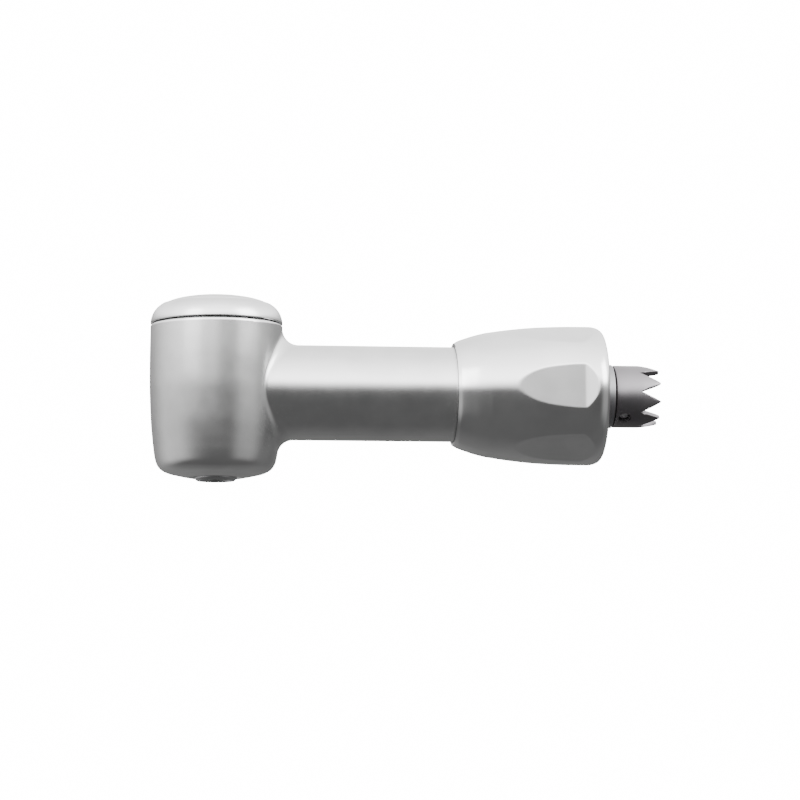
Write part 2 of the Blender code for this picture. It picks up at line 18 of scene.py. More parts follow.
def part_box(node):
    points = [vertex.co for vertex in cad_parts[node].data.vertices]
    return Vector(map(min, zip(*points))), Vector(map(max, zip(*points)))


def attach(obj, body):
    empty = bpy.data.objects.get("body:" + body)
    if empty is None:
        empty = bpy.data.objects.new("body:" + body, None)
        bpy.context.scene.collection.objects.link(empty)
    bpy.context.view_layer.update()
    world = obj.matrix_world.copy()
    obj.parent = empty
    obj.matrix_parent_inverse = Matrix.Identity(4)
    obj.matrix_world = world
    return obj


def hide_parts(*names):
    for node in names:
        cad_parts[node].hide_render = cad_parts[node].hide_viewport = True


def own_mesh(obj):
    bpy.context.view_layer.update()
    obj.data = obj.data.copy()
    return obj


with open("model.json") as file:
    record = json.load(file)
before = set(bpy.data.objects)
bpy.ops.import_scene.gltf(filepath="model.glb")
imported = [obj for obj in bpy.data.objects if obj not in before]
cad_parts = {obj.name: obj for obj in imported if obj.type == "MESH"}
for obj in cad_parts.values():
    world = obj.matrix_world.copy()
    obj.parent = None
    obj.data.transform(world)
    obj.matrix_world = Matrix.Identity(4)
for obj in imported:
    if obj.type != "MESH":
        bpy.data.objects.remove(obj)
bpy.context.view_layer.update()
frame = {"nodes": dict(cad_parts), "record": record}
nodes = frame["nodes"]
record = frame["record"]
print("CAD nodes:", len(nodes))

# %% [markdown]
# Everything on this object is turned on one of two axes, which cross inside the barrel. The record
# gives the crossing point as the place of the spindle's hinge, so we read it from there and measure
# every outline from it, in millimetres, as a workshop drawing would.

# %% The two axes
MM = 0.001
joints = {joint["name"]: joint for joint in record["behaviour"]["joints"]}
APEX = Vector(joints["spindle_spin"]["pos_m"])
UPRIGHT = Matrix.Translation(APEX)
ALONG = Matrix.Translation(APEX) @ Matrix.Rotation(math.radians(90.0), 4, "Y")
FULL_TURN = 2.0 * math.pi
WELD = 0.0000005


def span(node, axis):
    """Where a CAD node starts and ends along an axis, in millimetres from the apex."""
    low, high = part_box(node)
    return (low[axis] - APEX[axis]) / MM, (high[axis] - APEX[axis]) / MM


print("neck and barrel run from", span("head_housing", 0), "along the drive axis")
print("ring nut runs from", span("ring_nut", 0))

# %% [markdown]
# A finished piece is a plain mesh whose object stays at the origin. One helper does that for all of
# them: it takes the evaluated mesh, moves the place into the vertices, welds doubles, turns the faces
# outward, shades it, hangs it on the body that carries it, and hides the CAD nodes it stands for.


# %% Helpers that finish a piece
def plain_mesh(obj, place):
    """The object's mesh with its modifiers done, put in its place."""
    graph = bpy.context.evaluated_depsgraph_get()
    mesh = bpy.data.meshes.new_from_object(obj.evaluated_get(graph))
    mesh.transform(place)
    return mesh


def drop(obj):
    """Takes a helper object out of the file."""
    bpy.data.objects.remove(obj, do_unlink=True)


def tidy_mesh(mesh, sharp=30.0):
    """Welds doubles, turns faces outward and shades smooth up to an angle in degrees."""
    work = bmesh.new()
    work.from_mesh(mesh)
    bmesh.ops.remove_doubles(work, verts=work.verts, dist=WELD)
    bmesh.ops.recalc_face_normals(work, faces=work.faces)
    if work.calc_volume(signed=True) < 0.0:
        bmesh.ops.reverse_faces(work, faces=work.faces)
    work.to_mesh(mesh)
    work.free()
    for face in mesh.polygons:
        face.use_smooth = True
    mesh.set_sharp_from_angle(angle=math.radians(sharp))


def new_object(name, mesh):
    """An object in the scene that shows the mesh."""
    obj = bpy.data.objects.new(name, mesh)
    bpy.context.scene.collection.objects.link(obj)
    return obj


def finish_piece(name, mesh, metal, body, slot, *stands_for):
    """Names a finished mesh, gives it its metal, and hangs it on its body."""
    piece = new_object(name, mesh)
    mesh.materials.clear()
    mesh.materials.append(metal)
    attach(piece, body)
    if stands_for:
        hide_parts(*stands_for)
    print(name, len(mesh.polygons), "faces")
    return piece


# %% [markdown]
# Turned pieces are made as a lathe makes them: half an outline, spun once round. A real edge is
# never a knife edge, so the outline's corners get small radii before it is spun. The second helper
# does that: each corner has its own radius, and is replaced by a short arc.


# %% Helpers for outlines
def rounded(corners, steps=5):
    """An outline from (radius, height, corner radius) points, closed, with each corner an arc."""
    outline = []
    count = len(corners)
    for i in range(count):
        r, h, size = corners[i]
        here = Vector((r, h))
        before = Vector(corners[i - 1][:2]) - here
        after = Vector(corners[(i + 1) % count][:2]) - here
        if size <= 0.0:
            outline.append((r, h))
            continue
        half = before.angle(after) / 2.0
        reach = min(size / math.tan(half), 0.45 * before.length, 0.45 * after.length)
        first = here + before.normalized() * reach
        last = here + after.normalized() * reach
        for k in range(steps + 1):
            t = k / steps
            outline.append(tuple(first * (1 - t) ** 2 + here * 2 * t * (1 - t) + last * t ** 2))
    return outline


def curve_through(points, per_span=10):
    """A smooth line through the points (Catmull-Rom), for outlines with no corners."""
    pts = [np.array(p, dtype=float) for p in points]
    pts = [2 * pts[0] - pts[1]] + pts + [2 * pts[-1] - pts[-2]]
    line = []
    for a, b, c, d in zip(pts, pts[1:], pts[2:], pts[3:]):
        for k in range(per_span):
            t = k / per_span
            line.append(tuple(0.5 * (2 * b + (c - a) * t + (2 * a - 5 * b + 4 * c - d) * t * t
                                     + (3 * b - a - 3 * c + d) * t ** 3)))
    line.append(tuple(pts[-2]))
    return line


def lathe(name, outline, place, steps=160, ring=True, sharp=30.0):
    """Spins an outline of (radius, height) points into a closed mesh, in its place."""
    mesh = bpy.data.meshes.new(name)
    points = [(max(p[0], 0.0) * MM, 0.0, p[1] * MM) for p in outline]
    edges = [(i, i + 1) for i in range(len(points) - 1)]
    if ring:
        edges.append((len(points) - 1, 0))
    mesh.from_pydata(points, edges, [])
    blank = new_object(name + "_outline", mesh)
    screw = blank.modifiers.new("Lathe", "SCREW")
    screw.angle = FULL_TURN
    screw.steps = steps
    screw.render_steps = steps
    screw.use_merge_vertices = True
    screw.merge_threshold = WELD
    made = plain_mesh(blank, place)
    drop(blank)
    tidy_mesh(made, sharp)
    return made


def carve(mesh, others, operation="DIFFERENCE", sharp=30.0):
    """Cuts (or joins) other meshes from a mesh, all in their places."""
    work = new_object("work", mesh)
    helpers = []
    for other in others:
        tool = new_object("tool", other)
        step = work.modifiers.new("Cut", "BOOLEAN")
        step.operation = operation
        step.solver = "EXACT"
        step.object = tool
        helpers.append(tool)
    made = plain_mesh(work, Matrix.Identity(4))
    drop(work)
    for tool in helpers:
        drop(tool)
    tidy_mesh(made, sharp)
    return made


# %% [markdown]
# A material is easier to read as arithmetic than as a web of nodes. The class below wraps one
# socket: adding, multiplying or comparing two of them adds a Math node, and `node` makes any other
# node from its type, its settings and its inputs.


# %% A small class for shader arithmetic
class Wire:
    """One output socket, with operators that add Math nodes."""

    def __init__(self, tree, socket):
        self.tree = tree
        self.socket = socket

    def feed(self, value, target):
        if isinstance(value, Wire):
            self.tree.links.new(value.socket, target)
        else:
            target.default_value = value

    def node(self, kind, settings, inputs, output=0):
        made = self.tree.nodes.new(kind)
        for key, value in settings.items():
            if key == "stops":
                ramp = made.color_ramp
                while len(ramp.elements) < len(value):
                    ramp.elements.new(0.5)
                for element, (place, level) in zip(ramp.elements, value):
                    element.position = place
                    element.color = (level, level, level, 1.0)
            else:
                setattr(made, key, value)
        for key, value in inputs.items():
            self.feed(value, made.inputs[key])
        return Wire(self.tree, made.outputs[output])

    def math(self, operation, *values):
        inputs = dict(enumerate((self,) + values))
        return self.node("ShaderNodeMath", {"operation": operation}, inputs)

    def __add__(self, other):
        return self.math("ADD", other)

    __radd__ = __add__

    def __mul__(self, other):
        return self.math("MULTIPLY", other)

    __rmul__ = __mul__

    def __sub__(self, other):
        return self.math("SUBTRACT", other)

    def __rsub__(self, other):
        return (self * -1.0) + other

    def __truediv__(self, other):
        return self.math("DIVIDE", other)

    def __pow__(self, other):
        return self.math("POWER", other)

    def between(self, low, high):
        """0 below low, 1 above high, smooth in between."""
        return self.node("ShaderNodeMapRange", {"interpolation_type": "SMOOTHSTEP"},
                         {"Value": self, "From Min": low, "From Max": high})


def new_metal(name):
    """A material with its Principled shader, and a wire that reads Object coordinates."""
    made = bpy.data.materials.new(name)
    made.use_nodes = True
    tree = made.node_tree
    shader = tree.nodes["Principled BSDF"]
    where = tree.nodes.new("ShaderNodeTexCoord")
    return made, shader, Wire(tree, where.outputs["Object"])


def mix_colours(wire, amount, one, two):
    """A colour between two, by an amount."""
    node = wire.tree.nodes.new("ShaderNodeMix")
    node.data_type = "RGBA"
    wire.feed(amount, node.inputs[0])
    wire.feed(one, node.inputs[6])
    wire.feed(two, node.inputs[7])
    return Wire(wire.tree, node.outputs[2])


# %% [markdown]
# The barrel and neck of the real head are blasted with fine glass beads after turning, which leaves
# a soft, even grain. It scatters reflections a little, so roughness is the main value, and a very
# shallow bump at the size of the grain breaks up the edge of each reflection. Faint broad clouds in
# colour and roughness stand for handling and cleaning.


# %% The blasted finish
def blasted_metal(name, colour, roughness, grain, depth, clouds=0.03):
    """Metal with a fine even grain: grain and depth in millimetres."""
    made, shader, where = new_metal(name)
    fine = where.node("ShaderNodeTexNoise", {}, {"Vector": where, "Scale": 1.0 / (grain * MM),
                                                 "Detail": 2.0, "Roughness": 0.6})
    broad = where.node("ShaderNodeTexNoise", {}, {"Vector": where, "Scale": 420.0, "Detail": 4.0})
    cloud = broad - 0.5
    light = (*[min(1.0, c * 1.05) for c in colour], 1.0)
    dark = (*[c * 0.95 for c in colour], 1.0)
    tint = mix_colours(where, broad.between(0.3, 0.7), dark, light)
    where.feed(tint, shader.inputs["Base Color"])
    shader.inputs["Metallic"].default_value = 1.0
    where.feed((fine - 0.5) * 0.05 + cloud * clouds * 2.0 + roughness, shader.inputs["Roughness"])
    bump = where.node("ShaderNodeBump", {}, {"Strength": 1.0, "Distance": depth * MM, "Height": fine})
    where.feed(bump, shader.inputs["Normal"])
    return made


# %% [markdown]
# The nut, the button and the spindle are left as turned. A lathe leaves rings so fine that they only
# pull highlights slightly across the grain. The rings lie at one radius and one place along the axis,
# so the pattern is a noise that reads only those two numbers.


# %% The turned finish
def turned_metal(name, colour, roughness, along_x, ring=0.03, depth=0.0004, clouds=0.03):
    """Metal with fine lathe rings round the drive axis or the bur axis."""
    made, shader, where = new_metal(name)
    moved = where.node("ShaderNodeVectorMath", {"operation": "SUBTRACT"}, {0: where, 1: tuple(APEX)})
    axes = {part: where.node("ShaderNodeSeparateXYZ", {}, {0: moved}, part) for part in ("X", "Y", "Z")}
    if along_x:
        length = axes["X"]
        across = (axes["Y"] * axes["Y"] + axes["Z"] * axes["Z"]) ** 0.5
    else:
        length = axes["Z"]
        across = (axes["X"] * axes["X"] + axes["Y"] * axes["Y"]) ** 0.5
    flat = where.node("ShaderNodeCombineXYZ", {}, {"X": length, "Y": across, "Z": 0.0})
    rings = where.node("ShaderNodeTexNoise", {}, {"Vector": flat, "Scale": 1.0 / (ring * MM),
                                                  "Detail": 3.0})
    broad = where.node("ShaderNodeTexNoise", {}, {"Vector": where, "Scale": 380.0, "Detail": 4.0})
    light = (*[min(1.0, c * 1.04) for c in colour], 1.0)
    dark = (*[c * 0.96 for c in colour], 1.0)
    where.feed(mix_colours(where, broad.between(0.3, 0.7), dark, light), shader.inputs["Base Color"])
    shader.inputs["Metallic"].default_value = 1.0
    where.feed((rings - 0.5) * 0.06 + (broad - 0.5) * clouds * 2.0 + roughness, shader.inputs["Roughness"])
    bump = where.node("ShaderNodeBump", {}, {"Strength": 1.0, "Distance": depth * MM, "Height": rings})
    where.feed(bump, shader.inputs["Normal"])
    return made


SATIN_STEEL = blasted_metal("satin_steel_fine", (0.66, 0.66, 0.66), 0.22, 0.05, 0.0012)
CAP_STEEL = blasted_metal("cap_steel_fine", (0.66, 0.66, 0.665), 0.24, 0.05, 0.0010)
NUT_NICKEL = turned_metal("nut_nickel_fine", (0.72, 0.72, 0.72), 0.17, True)
BOSS_STEEL = turned_metal("boss_steel_fine", (0.28, 0.28, 0.29), 0.40, True)
BUTTON_STEEL = turned_metal("button_steel_fine", (0.66, 0.66, 0.665), 0.24, False)
SPINDLE_STEEL = turned_metal("spindle_steel_fine", (0.50, 0.50, 0.51), 0.26, False)
SHAFT_STEEL = turned_metal("shaft_steel_fine", (0.52, 0.52, 0.53), 0.24, True)
CROWN_STEEL = turned_metal("crown_steel_fine", (0.21, 0.20, 0.21), 0.38, True)
BALL_STEEL = turned_metal("ball_steel_fine", (0.74, 0.74, 0.75), 0.10, False)
BRONZE = turned_metal("bronze_fine", (0.60, 0.38, 0.19), 0.36, True)
SPRING_STEEL = turned_metal("spring_steel_fine", (0.42, 0.42, 0.44), 0.26, False)


# %% [markdown]
# The O-ring and the nose seal are nitrile rubber: nearly black, not metallic, and matt with a faint
# bloom where it has been rubbed.


# %% The rubber
def seal_rubber():
    """Dark matt rubber with a faint bloom."""
    made, shader, where = new_metal("seal_rubber_fine")
    bloom = where.node("ShaderNodeTexNoise", {}, {"Vector": where, "Scale": 2500.0, "Detail": 3.0})
    black = (0.012, 0.012, 0.012, 1.0)
    rubbed = (0.028, 0.028, 0.027, 1.0)
    tint = mix_colours(where, bloom.between(0.35, 0.75), black, rubbed)
    where.feed(tint, shader.inputs["Base Color"])
    shader.inputs["Metallic"].default_value = 0.0
    where.feed(bloom * 0.2 + 0.5, shader.inputs["Roughness"])
    return made


RUBBER = seal_rubber()

# %% [markdown]
# The CAD nodes that keep their own shape only need better metal. The record's slot says which
# finish each one has, so a short table from slot to material dresses them all at once.

# %% Dress the CAD nodes
finishes = {
    "satin_steel": SATIN_STEEL, "nut_nickel": NUT_NICKEL, "button_steel": BUTTON_STEEL,
    "crown_steel": CROWN_STEEL, "gear_steel": SHAFT_STEEL, "bearing_steel": BALL_STEEL,
    "cage_steel": BALL_STEEL, "bronze": BRONZE, "seal_rubber": RUBBER, "spring_steel": SPRING_STEEL,
}
for part in record["subparts"]:
    node = nodes[part["node"]]
    for slot in node.material_slots:
        slot.material = finishes[part["material_slot"]]
print("dressed", len(record["subparts"]), "CAD nodes")

# %% [markdown]
# The barrel is a turned shape that a round neck grows out of, with a radius in the corner that is
# full above and below the neck and tighter at its sides. On the real part a ball-ended cutter leaves
# it, so we place it the same way: a ball that touches both the neck and the barrel is rolled once
# round the neck, and is smaller at the sides. Where it touches the barrel is the edge of the fillet,
# and the barrel's own surface is laid from there outward, in rings, to a square patch in its grid.
# No two surfaces cross, so reflections run on without a crease.
#
# First comes the side of the barrel as half an outline, and a table of the distance along it.

# %% The barrel's outline
NECK_R = 3.57
FILLET_R = 1.2
FILLET_SIDE_R = 0.6
side = np.array(curve_through([
    (4.93, 4.88), (4.952, 3.6), (4.965, 2.4), (4.966, 1.2), (4.955, 0.2), (4.925, -0.7),
    (4.885, -1.6), (4.825, -2.6), (4.74, -3.5), (4.66, -4.2), (4.58, -4.8), (4.44, -5.36),
    (4.22, -5.74), (3.92, -5.97), (3.55, -6.13), (3.05, -6.25), (2.40, -6.39), (2.05, -6.45),
], 20))
steps_along = np.hypot(*np.diff(side, axis=0).T)
along = np.concatenate([[0.0], np.cumsum(steps_along)])


def on_side(s):
    """(radius, height) at a distance along the outline."""
    return np.interp(s, along, side[:, 0]), np.interp(s, along, side[:, 1])


print("barrel outline is", round(along[-1], 2), "mm long")


# %% [markdown]
# At each angle round the neck the ball's centre stands one ball radius off the neck. How far along
# the neck it stands is found by halving: too near and the ball cuts into the barrel, too far and
# there is a gap. The two touching points then give the arc of the fillet.


# %% Roll the ball round the neck
def nearest_on_side(reach, height):
    """(gap, distance along) of the outline's nearest point to (reach, height)."""
    start = side[:-1]
    step = np.diff(side, axis=0)
    out = reach - start[:, 0]
    up = height - start[:, 1]
    t = (out * step[:, 0] + up * step[:, 1]) / (step ** 2).sum(axis=1)
    t = np.clip(t, 0.0, 1.0)
    gap = np.hypot(out - t * step[:, 0], up - t * step[:, 1])
    k = int(gap.argmin())
    return gap[k], along[k] + t[k] * steps_along[k]


FARTHEST_BALL = 9.0
HALVINGS = 40


def fillet_arc(angle, count=12):
    """Points from the neck to the barrel over the ball, and where it touches the barrel."""
    ball_r = FILLET_R + (FILLET_SIDE_R - FILLET_R) * math.cos(angle) ** 2
    y = (NECK_R + ball_r) * math.cos(angle)
    z = (NECK_R + ball_r) * math.sin(angle)
    near, far = 0.0, FARTHEST_BALL
    for _ in range(HALVINGS):
        x = (near + far) / 2.0
        if nearest_on_side(math.hypot(x, y), z)[0] > ball_r:
            far = x
        else:
            near = x
    gap, s = nearest_on_side(math.hypot(x, y), z)
    r, barrel_z = on_side(s)
    azimuth = math.atan2(y, x)
    ball = Vector((x, y, z))
    neck_point = Vector((x, NECK_R * math.cos(angle), NECK_R * math.sin(angle)))
    barrel_point = Vector((r * math.cos(azimuth), r * math.sin(azimuth), barrel_z))
    first = (neck_point - ball).normalized()
    last = (barrel_point - ball).normalized()
    arc = [ball + first.slerp(last, k / count) * ball_r for k in range(count + 1)]
    return arc, azimuth, s


# %% [markdown]
# The grid now: columns every one and a half degrees, rows about every eighth of a millimetre. The
# square patch round the fillet reaches forty columns to each side of the neck's middle. Every point
# of its border gets one section of the fillet, so the rings between them join one to one.

# %% Lay the housing's skin
COLUMNS = 240
HALF_PATCH = 40
ROW = 0.125
PATCH_RINGS = 12
PATCH_BOTTOM = -5.45
PATCH_HALF_HEIGHT = 4.9
PATCH_HALF_WIDTH = math.radians(50.0)
ROWS_BELOW = 21
NECK_END = 19.0
PATCH_END = float(along[np.abs(side[:, 1] - PATCH_BOTTOM).argmin()])
patch_rows = int(round(PATCH_END / ROW))
row_places = list(np.linspace(0.0, PATCH_END, patch_rows + 1))
row_places += list(np.linspace(PATCH_END, along[-1], ROWS_BELOW + 1))[1:]
skin = bmesh.new()


def skin_vertex(x, y, z):
    """A new point of the skin, in millimetres from the apex."""
    return skin.verts.new(Vector((x, y, z)) * MM + APEX)


grid = {}
for j, s in enumerate(row_places):
    r, z = on_side(s)
    for i in range(COLUMNS):
        column = i if i <= COLUMNS // 2 else i - COLUMNS
        if j < patch_rows and 0 < j and abs(column) < HALF_PATCH:
            continue
        azimuth = FULL_TURN * i / COLUMNS
        grid[i, j] = skin_vertex(r * math.cos(azimuth), r * math.sin(azimuth), z)
for j in range(len(row_places) - 1):
    for i in range(COLUMNS):
        column = i if i < COLUMNS // 2 else i - COLUMNS
        if j < patch_rows and -HALF_PATCH <= column < HALF_PATCH:
            continue
        k = (i + 1) % COLUMNS
        skin.faces.new((grid[i, j], grid[k, j], grid[k, j + 1], grid[i, j + 1]))

# the patch's border, once round in the order of the neck's sections
border = []
for j in range(patch_rows, 0, -1):
    border.append((HALF_PATCH, j))
for i in range(HALF_PATCH, -HALF_PATCH, -1):
    border.append((i, 0))
for j in range(0, patch_rows):
    border.append((-HALF_PATCH, j))
for i in range(-HALF_PATCH, HALF_PATCH):
    border.append((i, patch_rows))
sections = []
for i, j in border:
    azimuth = FULL_TURN * i / COLUMNS
    z = on_side(row_places[j])[1]
    angle = math.atan2(z / PATCH_HALF_HEIGHT, azimuth / PATCH_HALF_WIDTH)
    sections.append((angle, azimuth, row_places[j], grid[i % COLUMNS, j]))
rings = []
for angle, azimuth, s, corner in sections:
    arc, touch_azimuth, touch_s = fillet_arc(angle)
    column = []
    for x in (NECK_END - 0.15, 14.0, 9.0, 7.0):
        column.append(skin_vertex(x, NECK_R * math.cos(angle), NECK_R * math.sin(angle)))
    for point in arc:
        column.append(skin_vertex(*point))
    for k in range(1, PATCH_RINGS):
        t = k / PATCH_RINGS
        there = touch_azimuth + (azimuth - touch_azimuth) * t
        r, z = on_side(touch_s + (s - touch_s) * t)
        column.append(skin_vertex(r * math.cos(there), r * math.sin(there), z))
    column.append(corner)
    rings.append(column)
for one, two in zip(rings, rings[1:] + rings[:1]):
    for k in range(len(one) - 1):
        skin.faces.new((one[k], one[k + 1], two[k + 1], two[k]))


# %% [markdown]
# The skin is still open at the barrel's rim, at its bottom and at the neck's end. The rim and the
# neck's end get a few rings, for a small round edge, and each opening is closed with one face. The
# bores are turned as solids of their own and cut out.


# %% Close the housing's ends and cut its bores
def cap_loop(loop, shape):
    """Adds rings inside a loop, then one face over the last."""
    last = loop
    for ring in shape:
        fresh = [skin_vertex(*ring(v.co / MM - APEX / MM)) for v in loop]
        for i in range(len(loop)):
            k = (i + 1) % len(loop)
            skin.faces.new((last[i], last[k], fresh[k], fresh[i]))
        last = fresh
    skin.faces.new(last)


top_loop = [grid[i, 0] for i in range(COLUMNS)]
bottom_loop = [grid[i, len(row_places) - 1] for i in range(COLUMNS)]


def rim_ring(radius, height):
    """Moves a point of the barrel's rim to a radius and a height."""
    return lambda p: (p.x / math.hypot(p.x, p.y) * radius, p.y / math.hypot(p.x, p.y) * radius, height)


def neck_ring(x, inset):
    """Moves a point of the neck's end to a place along it, nearer to the axis by the inset."""
    return lambda p: (x, p.y * (NECK_R - inset) / NECK_R, p.z * (NECK_R - inset) / NECK_R)


cap_loop(top_loop, [rim_ring(4.90, 4.935), rim_ring(4.80, 5.02), rim_ring(4.76, 5.03)])
cap_loop(bottom_loop, [])
neck_loop = [column[0] for column in rings]
cap_loop(neck_loop, [neck_ring(NECK_END - 0.04, 0.04), neck_ring(NECK_END, 0.15)])
housing_mesh = bpy.data.meshes.new("housing")
skin.to_mesh(housing_mesh)
skin.free()
tidy_mesh(housing_mesh)

barrel_bore = lathe("barrel_bore", [
    (0.0, 5.4), (4.2, 5.4), (4.2, 4.0), (3.53, 4.0), (3.53, -4.85), (3.38, -5.0), (1.95, -5.0),
    (1.95, -5.15), (2.2, -5.15), (2.2, -5.6), (1.78, -5.6), (1.78, -6.3), (1.95, -6.5), (1.95, -7.0),
    (0.0, -7.0),
], UPRIGHT, 160, ring=False)
neck_bore = lathe("neck_bore", [
    (0.0, 20.0), (3.02, 20.0), (3.02, 4.3), (2.94, 4.3), (2.94, 1.0), (0.0, 1.0),
], ALONG, 128, ring=False)
housing_mesh = carve(housing_mesh, [barrel_bore, neck_bore])
finish_piece("housing_skin", housing_mesh, SATIN_STEEL, "head", "satin_steel", "head_housing")

# %% [markdown]
# The cap screws into the barrel over the bearing. From outside it is a rolled ring with a hair-thin
# seam under it, where the O-ring sits, and the button's dome fills its mouth. Its outer edge is one
# sweep, so that part of the outline is a smooth curve and only the corners get a radius.

# %% The cap, the button and the O-ring
LIP_R = 3.87
CAP_FLOOR = 5.2
cap_sweep = curve_through([
    (4.10, 6.52), (4.24, 6.43), (4.48, 6.22), (4.70, 5.93), (4.84, 5.62), (4.91, 5.36), (4.935, 5.18),
], 8)
cap_outline = [(LIP_R, 6.49), (LIP_R + 0.02, 6.52), (LIP_R + 0.06, 6.53), (4.02, 6.53)] + cap_sweep
cap_outline += [
    (4.935, 5.12), (4.92, 5.09), (4.88, 5.08), (4.45, 5.08), (4.45, 5.25), (4.17, 5.25), (4.17, 4.05),
    (3.53, 4.05), (3.53, 4.88), (2.75, 4.88), (2.75, CAP_FLOOR), (4.01, CAP_FLOOR), (4.01, 6.32),
    (LIP_R, 6.32),
]
cap_mesh = lathe("cap", cap_outline, UPRIGHT, 200)
finish_piece("cap_ring", cap_mesh, CAP_STEEL, "head", "satin_steel", "head_cap")

TOP = 7.15
dome = curve_through([
    (0.8, TOP), (1.5, TOP - 0.03), (2.2, TOP - 0.10), (3.0, TOP - 0.25), (3.45, TOP - 0.38),
    (3.68, TOP - 0.47),
], 8)
button_outline = [(0.0, TOP)] + dome + [
    (3.76, TOP - 0.52), (3.81, TOP - 0.59), (3.82, TOP - 0.66), (3.82, 6.30), (3.96, 6.28),
    (3.96, 5.95), (2.9, 5.95), (2.9, 6.25), (0.92, 6.25), (0.92, 6.4), (0.0, 6.4),
]
button_mesh = lathe("button", button_outline, UPRIGHT, 200, ring=False)
finish_piece("button_dome", button_mesh, BUTTON_STEEL, "button", "button_steel", "push_button")

O_RING_R = 4.31
O_RING_Z = 5.16
CORD_R = 0.09
o_ring = []
for a in np.linspace(0, FULL_TURN, 16, False):
    o_ring.append((O_RING_R + CORD_R * math.cos(a), O_RING_Z + CORD_R * math.sin(a)))
o_ring_mesh = lathe("o_ring", o_ring, UPRIGHT, 120)
finish_piece("cap_o_ring", o_ring_mesh, RUBBER, "head", "seal_rubber", "cap_seal")

# %% [markdown]
# Under the button lies a flat conical spring: two coils of thin wire, the upper one narrower, so that
# they nest when the button is pressed. The wire is a curve with a round section. A spring doesn't
# move with the button but shortens, so the piece hangs on the head, not on the button.

# %% The button's spring
spring_low, spring_high = span("button_spring", 2)
WIRE_R = 0.09
SPRING_LOW_R = 3.7
SPRING_HIGH_R = 3.0
COILS = 2
STEPS_PER_COIL = 72
line = bpy.data.curves.new("spring_line", "CURVE")
line.dimensions = "3D"
line.bevel_depth = WIRE_R * MM
line.bevel_resolution = 4
line.use_fill_caps = True
path = line.splines.new("POLY")
path.points.add(COILS * STEPS_PER_COIL)
for k, point in enumerate(path.points):
    t = k / (COILS * STEPS_PER_COIL)
    a = FULL_TURN * COILS * t
    r = SPRING_LOW_R + (SPRING_HIGH_R - SPRING_LOW_R) * t
    z = spring_low + WIRE_R + (spring_high - spring_low - 2.0 * WIRE_R) * t
    point.co = (*(APEX + Vector((r * math.cos(a), r * math.sin(a), z)) * MM), 1.0)
coil = new_object("spring_line", line)
spring_mesh = plain_mesh(coil, Matrix.Identity(4))
drop(coil)
tidy_mesh(spring_mesh, 60.0)
spring = finish_piece("button_spring_fine", spring_mesh, SPRING_STEEL, "head", "spring_steel",
                      "button_spring")
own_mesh(spring)

# %% [markdown]
# The spindle's open end is the nose: a short collar with a chamfer, bored for the bur. Its whole
# length is turned here, because a view up the bore sees the inside of it.

# %% The spindle and the nose seal
spindle_outline = rounded([
    (1.5, 4.88, 0.06), (1.5, 2.12, 0.0), (1.6, 2.05, 0.0), (1.6, -2.58, 0.0), (2.0, -2.58, 0.05),
    (2.0, -2.88, 0.05), (1.73, -2.88, 0.0), (1.73, -4.75, 0.04), (1.6, -4.8, 0.0), (1.6, -6.50, 0.08),
    (1.40, -6.68, 0.05), (1.27, -6.68, 0.03), (1.19, -6.57, 0.05), (1.19, 4.88, 0.05),
])
finish_piece("spindle_fine", lathe("spindle", spindle_outline, UPRIGHT, 128), SPINDLE_STEEL, "spindle",
             "gear_steel", "spindle_tube")
seal_outline = rounded([
    (2.17, -5.18, 0.06), (2.17, -5.57, 0.06), (1.66, -5.57, 0.06), (1.66, -5.18, 0.06),
])
finish_piece("nose_seal_fine", lathe("nose_seal", seal_outline, UPRIGHT, 96), RUBBER, "head", "seal_rubber",
             "nose_seal")

# %% [markdown]
# The ring nut is first turned, as a bell that swells toward the rear, then milled with six flats for
# a wrench. Milling is a rule, so Geometry Nodes does it: each point of the turned blank finds which
# sixth of the circle it lies in, and how far out the flat allows it there, and moves in if it stands
# further out. A smooth minimum in place of a plain one leaves the soft edge that polishing gives.
# Short of the rear the cutter lifts, so that each flat runs out and the nut keeps a full round rim.


